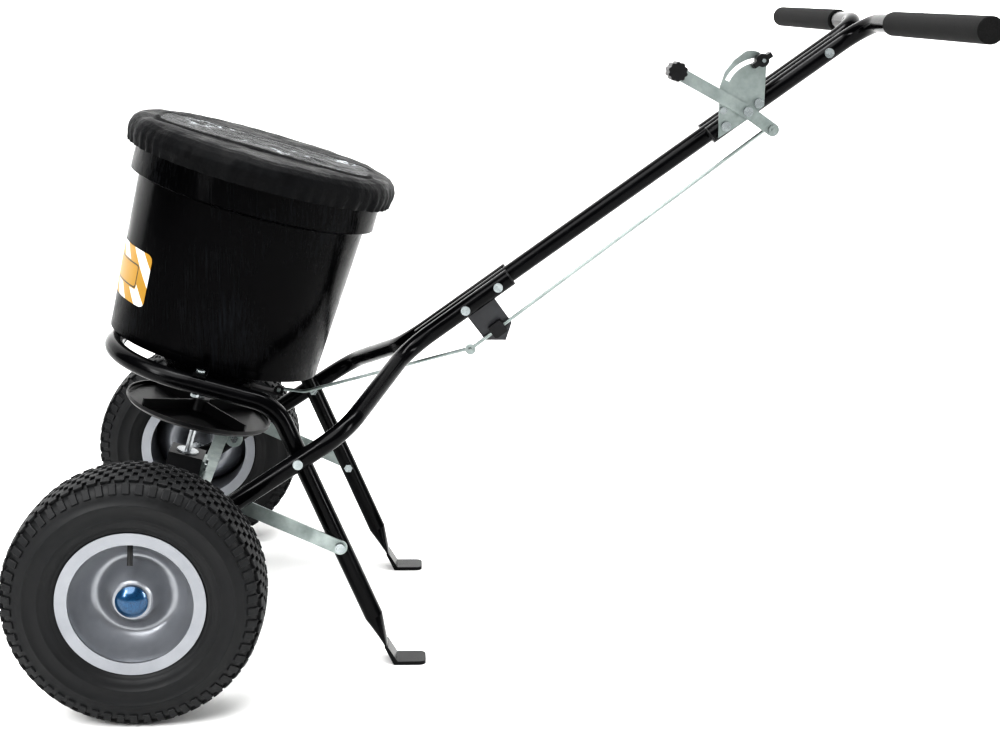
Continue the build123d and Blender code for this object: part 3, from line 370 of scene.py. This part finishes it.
# Painted highlight: the crease lines are painted near white, except where the calm patches lift them out of range.
tint(tree, shader, painted_crease_highlight, "#d3d9dc", "#0e1114", 0.0, 0.045)
first = add(tree, "ShaderNodeBump", Height=(crumple, 0), Distance=0.008, Strength=0.9)
second = add(tree, "ShaderNodeBump", Height=(ripple, 0), Distance=0.002, Strength=0.5, Normal=(first, 0))
tree.links.new(second.outputs[0], shader.inputs["Normal"])
print(len(bpy.data.materials), "finishes")

# %% [markdown]
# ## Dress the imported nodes
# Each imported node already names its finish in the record. This table gives each of those
# finishes its material, and one loop puts it on.

# %% Assign finishes
finishes = {"gloss_black_paint": powder, "zinc": zinc, "bright_zinc": bright, "silver_rim": rim_silver,
            "tyre_rubber": rubber, "valve_rubber": valve_rubber, "foam": foam, "hopper_plastic": hopper_plastic,
            "black_plastic": nylon_black, "nylon": nylon_white, "blue_metallic": blue,
            "dark_grey_steel": grey_paint, "gear_steel": steel, "cover_cloth": cloth, "clear_vinyl": vinyl}
for part in frame["record"]["subparts"]:
    node = frame["nodes"][part["node"]]
    node.data.materials.clear()
    node.data.materials.append(finishes[part["material_slot"]])
print("dressed", len(frame["nodes"]), "nodes")


# %% [markdown]
# ## One helper for curved sheets
# Many pieces here are a flat grid bent into shape: the cover, its window, the label, the tyre's
# skin. A grid is made square, and each corner is then moved to where the real one lies.

# %% Bent grid
def bent_grid(name, across, along, shape_of, material, body):
    """A grid of across by along squares, each corner (u, v from 0 to 1) moved to shape_of(u, v)."""
    shape = bmesh.new()
    bmesh.ops.create_grid(shape, x_segments=across, y_segments=along, size=0.5)
    for corner in shape.verts:
        corner.co = shape_of(corner.co.x + 0.5, corner.co.y + 0.5)
    bmesh.ops.remove_doubles(shape, verts=shape.verts, dist=0.00002)
    bmesh.ops.recalc_face_normals(shape, faces=shape.faces)
    return finish_piece(name, shape, material, body)


def finish_piece(name, shape, material, body, smooth=True):
    """Turn a bmesh into an object that rides on a body."""
    mesh = bpy.data.meshes.new(name)
    for face in shape.faces:
        face.smooth = smooth
    shape.to_mesh(mesh)
    shape.free()
    piece = bpy.data.objects.new(name, mesh)
    bpy.context.scene.collection.objects.link(piece)
    mesh.materials.append(material)
    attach(piece, body)
    print(name, len(mesh.polygons), "faces")
    return piece


# %% [markdown]
# ## Tyres
# A turf tyre has a smooth, rounded carcass and rows of small square blocks, set like bricks, with a
# row of longer lugs on each shoulder. One block of each row is made and then spun round the wheel.

# %% Carcass and tread
carcass = [(42.4, 80.1), (42.4, 93.4), (44.2, 95), (47.4, 98), (47.4, 99.5), (48.6, 100), (50.4, 106), (51.6, 112),
           (52.6, 112.6), (52.6, 114.2), (52.2, 115), (52.8, 122), (52.9, 130), (53.6, 130.6), (53.6, 132.2),
           (52.6, 133), (51.2, 141), (49.6, 146), (46.0, 153), (38.5, 158), (24, 160.4), (0, 161.2)]
carcass = carcass + [(-x, r) for x, r in reversed(carcass[:-1])]


def along_profile(points, v):
    """Point a share v of the way along a list of points."""
    spot = v * (len(points) - 1)
    first = min(int(spot), len(points) - 2)
    return tuple(a + (b - a) * (spot - first) for a, b in zip(points[first], points[first + 1]))


blocks_round = 58
row_pitch = 11.6
block_size = (12.2, 9.4, 7.0)
crown_radius = 161.6
crown_drop = 0.495
row_tilt = -5.5
lug_size = (9.5, 14, 5)
lug_out, lug_radius, lug_tilt = 46.6, 151.2, -62


def ring_of_blocks(tread, spot, rounding, turn=0.0):
    """Add one rounded block to the tread, repeated all the way round the wheel."""
    ring = bmesh.new()
    bmesh.ops.create_cube(ring, size=1, matrix=spot)
    bmesh.ops.bevel(ring, geom=ring.edges[:], offset=rounding, segments=2, profile=0.5, affect="EDGES",
                    material=-1)
    bmesh.ops.rotate(ring, verts=ring.verts, matrix=Matrix.Rotation(turn, 3, "Y"))
    bmesh.ops.spin(ring, geom=ring.verts[:] + ring.edges[:] + ring.faces[:], axis=(0, 1, 0),
                   angle=tau * (blocks_round - 1) / blocks_round, steps=blocks_round - 1, use_duplicate=True)
    carrier = bpy.data.meshes.new("row")
    ring.to_mesh(carrier)
    ring.free()
    tread.from_mesh(carrier)


for name, body in (("left", "drive_axle"), ("right", "free_wheel")):
    low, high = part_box("tyre_" + name)
    middle = (low + high) / 2

    def skin(u, v):
        x, r = along_profile(carcass, v)
        return middle + Vector((r * cos(tau * u), x, r * sin(tau * u))) * MM

    tyre = bent_grid("tyre_skin_" + name, 144, 42, skin, rubber, body)
    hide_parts("tyre_" + name)

    tread = bmesh.new()
    for row in range(-3, 4):
        tip = crown_radius - crown_drop * abs(row) ** 1.4
        spot = (Matrix.Translation((0, row * row_pitch, tip))
                @ Matrix.Rotation(radians(row_tilt * row), 4, "X") @ Matrix.Diagonal(block_size + (1,)))
        ring_of_blocks(tread, spot, 0.9, (row % 2) * tau / blocks_round / 2)
    for shoulder in (-1, 1):
        spot = (Matrix.Translation((0, shoulder * lug_out, lug_radius))
                @ Matrix.Rotation(radians(lug_tilt * shoulder), 4, "X") @ Matrix.Diagonal(lug_size + (1,)))
        ring_of_blocks(tread, spot, 1.0)
    bmesh.ops.scale(tread, vec=(MM, MM, MM), verts=tread.verts)
    bmesh.ops.translate(tread, vec=middle, verts=tread.verts)
    finish_piece("tread_" + name, tread, rubber, body, smooth=False)

# %% [markdown]
# ## The cover
# A round of coated cloth with a gathered skirt, pulled over the hopper's rim by its hem. The cloth
# stands a little proud at the rim, sags on top and puckers all round where it is gathered.
# It is a grid bent round the hopper's line, with folds that grow towards the hem.

# %% Cover cloth
cover_profile = [(0, 551.2), (60, 551.6), (120, 552.4), (158, 553.2), (172, 552.6), (181, 549.6), (187.4, 543.5),
                 (190.9, 534), (190.6, 526), (188.6, 519), (187.6, 513.6)]


def cover_shape(u, v):
    out, rise = along_profile(cover_profile, v)
    angle = tau * u
    x, y = out * cos(angle), out * sin(angle)
    edge = max(0.0, (v - 0.55) / 0.45)
    round_place = Vector((cos(angle), sin(angle), 0))
    pleat = noise.noise(round_place * 9.0) * 1.2 + sin(58 * angle + 4 * noise.noise(round_place * 3.0))
    fold = noise.noise(Vector((x / 46, y / 46, 3.1))) + 0.5 * noise.noise(Vector((x / 19, y / 19, 7.7)))
    swell = out + 1.5 * edge * pleat + (2.2 * fold * min(1, edge * 2))
    top = rise + (1 - edge) * (1.4 * fold + 1.0) * min(1.0, out / 30 + 0.4)
    return leaning(swell * cos(angle), swell * sin(angle), top)


cover = bent_grid("cloth_cover", 348, 60, cover_shape, cloth, "cover")
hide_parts("rain_cover")

# %% [markdown]
# The window is a separate sheet of clear vinyl, stitched on along a bound edge. It never lies flat
# again once it has been folded, so it keeps creases, with painted highlights along them.


# %% Window and its binding
window_half = (150, 72)
window_across = -15
binding_half = (146, 68)
binding_width = 11


def rounded(u, size):
    """Point on a rounded rectangle's outline, a share u of the way round, in millimetres."""
    angle = tau * u
    corner = [abs(f(angle)) ** 0.38 * (1 if f(angle) > 0 else -1) for f in (cos, sin)]
    return corner[0] * size[0], corner[1] * size[1]


def window_shape(u, v):
    x, y = rounded(u, (window_half[0] * v, window_half[1] * v))
    crumple = noise.noise(Vector((x / 24, y / 24, 0))) + 0.6 * abs(noise.noise(Vector((x / 11, y / 11, 5))))
    return leaning(x, y + window_across, 555.6 + 1.6 * crumple * (1 - v ** 6))


window = bent_grid("vinyl_window", 120, 44, window_shape, vinyl, "cover")
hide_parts("cover_window")


def binding_shape(u, v):
    x, y = rounded(u, (binding_half[0] + binding_width * v, binding_half[1] + binding_width * v))
    pucker = 0.35 * sin(150 * tau * u) * sin(pi * v)
    return leaning(x, y + window_across, 555.4 + 1.5 * sin(pi * v) + pucker - 1.6 * v)


bent_grid("window_binding", 480, 6, binding_shape, cloth, "cover")

# %% [markdown]
# ## The label
# A printed sticker on the hopper's front left: white, with slanting amber stripes and a plain box.
# It is a grid bent to the hopper's own taper, just under half a millimetre off the plastic.

# %% Label print
label_paint, tree, shader = surface("Printed vinyl label", "#e9e9e6", Roughness=0.35)
label_uv = add(tree, "ShaderNodeUVMap", {"uv_map": "label"})
split = add(tree, "ShaderNodeSeparateXYZ", Vector=(label_uv, 0))
slant = add(tree, "ShaderNodeMath", {"operation": "ADD"}, i0=(split, 0), i1=(split, 1))
bands = add(tree, "ShaderNodeMath", {"operation": "PINGPONG"}, i0=(slant, 0), i1=0.34)
stripe = add(tree, "ShaderNodeMath", {"operation": "GREATER_THAN"}, i0=(bands, 0), i1=0.17)
level = add(tree, "ShaderNodeMath", {"operation": "SUBTRACT"}, i0=(split, 1), i1=0.5)
off_middle = add(tree, "ShaderNodeMath", {"operation": "ABSOLUTE"}, i0=(level, 0))
from_right = add(tree, "ShaderNodeMath", {"operation": "SUBTRACT"}, i0=1.16, i1=(split, 0))
over = add(tree, "ShaderNodeMath", {"operation": "SUBTRACT"}, i0=0.24, i1=(off_middle, 0))
inset = add(tree, "ShaderNodeMath", {"operation": "SMOOTH_MIN"}, i0=(from_right, 0), i1=(over, 0), i2=0.1)
boxed = add(tree, "ShaderNodeMath", {"operation": "GREATER_THAN"}, i0=(inset, 0), i1=0.0)
mask = add(tree, "ShaderNodeMath", {"operation": "MAXIMUM"}, i0=(stripe, 0), i1=(boxed, 0))
paints = tint(tree, shader, mask, "#c9c9c6", "#97721a", 0.4, 0.6)
outline = add(tree, "ShaderNodeMath", {"operation": "COMPARE"}, i0=(inset, 0), i1=0.03, i2=0.013)
inked = add(tree, "ShaderNodeMix", {"data_type": "RGBA"}, i0=(outline, 0), i6=(paints, 0),
            i7=linear("#1c1408"))
tree.links.new(inked.outputs[2], shader.inputs["Base Color"])


label_start, label_turn = -172, 41
label_middle, label_half = 341, 37.5
label_clearance = 0.45
hopper_low, hopper_low_radius = 263, 151
hopper_high, hopper_high_radius = 472, 162.5
hopper_flare = (hopper_high_radius - hopper_low_radius) / (hopper_high - hopper_low)


def label_shape(u, v):
    from_end = min(1, 9 * min(u, 1 - u))
    rounding = (1 - (1 - from_end) ** 2) ** 0.5
    rise = label_middle + label_half * (2 * v - 1) * (0.78 + 0.22 * rounding)
    angle = radians(label_start + label_turn * u)
    out = hopper_low_radius + (rise - hopper_low) * hopper_flare + label_clearance
    return leaning(out * cos(angle), out * sin(angle), rise)


label = bent_grid("label", 72, 24, label_shape, label_paint, "frame")
layer = label.data.uv_layers.new(name="label")
for loop in label.data.loops:
    spot = (label.data.vertices[loop.vertex_index].co - axle) / MM
    turn = degrees(atan2(spot.y, spot.dot(back))) - label_start
    layer.data[loop.index].uv = (turn / label_turn * 1.48,
                                 (spot.dot(up) - label_middle + label_half) / (2 * label_half))
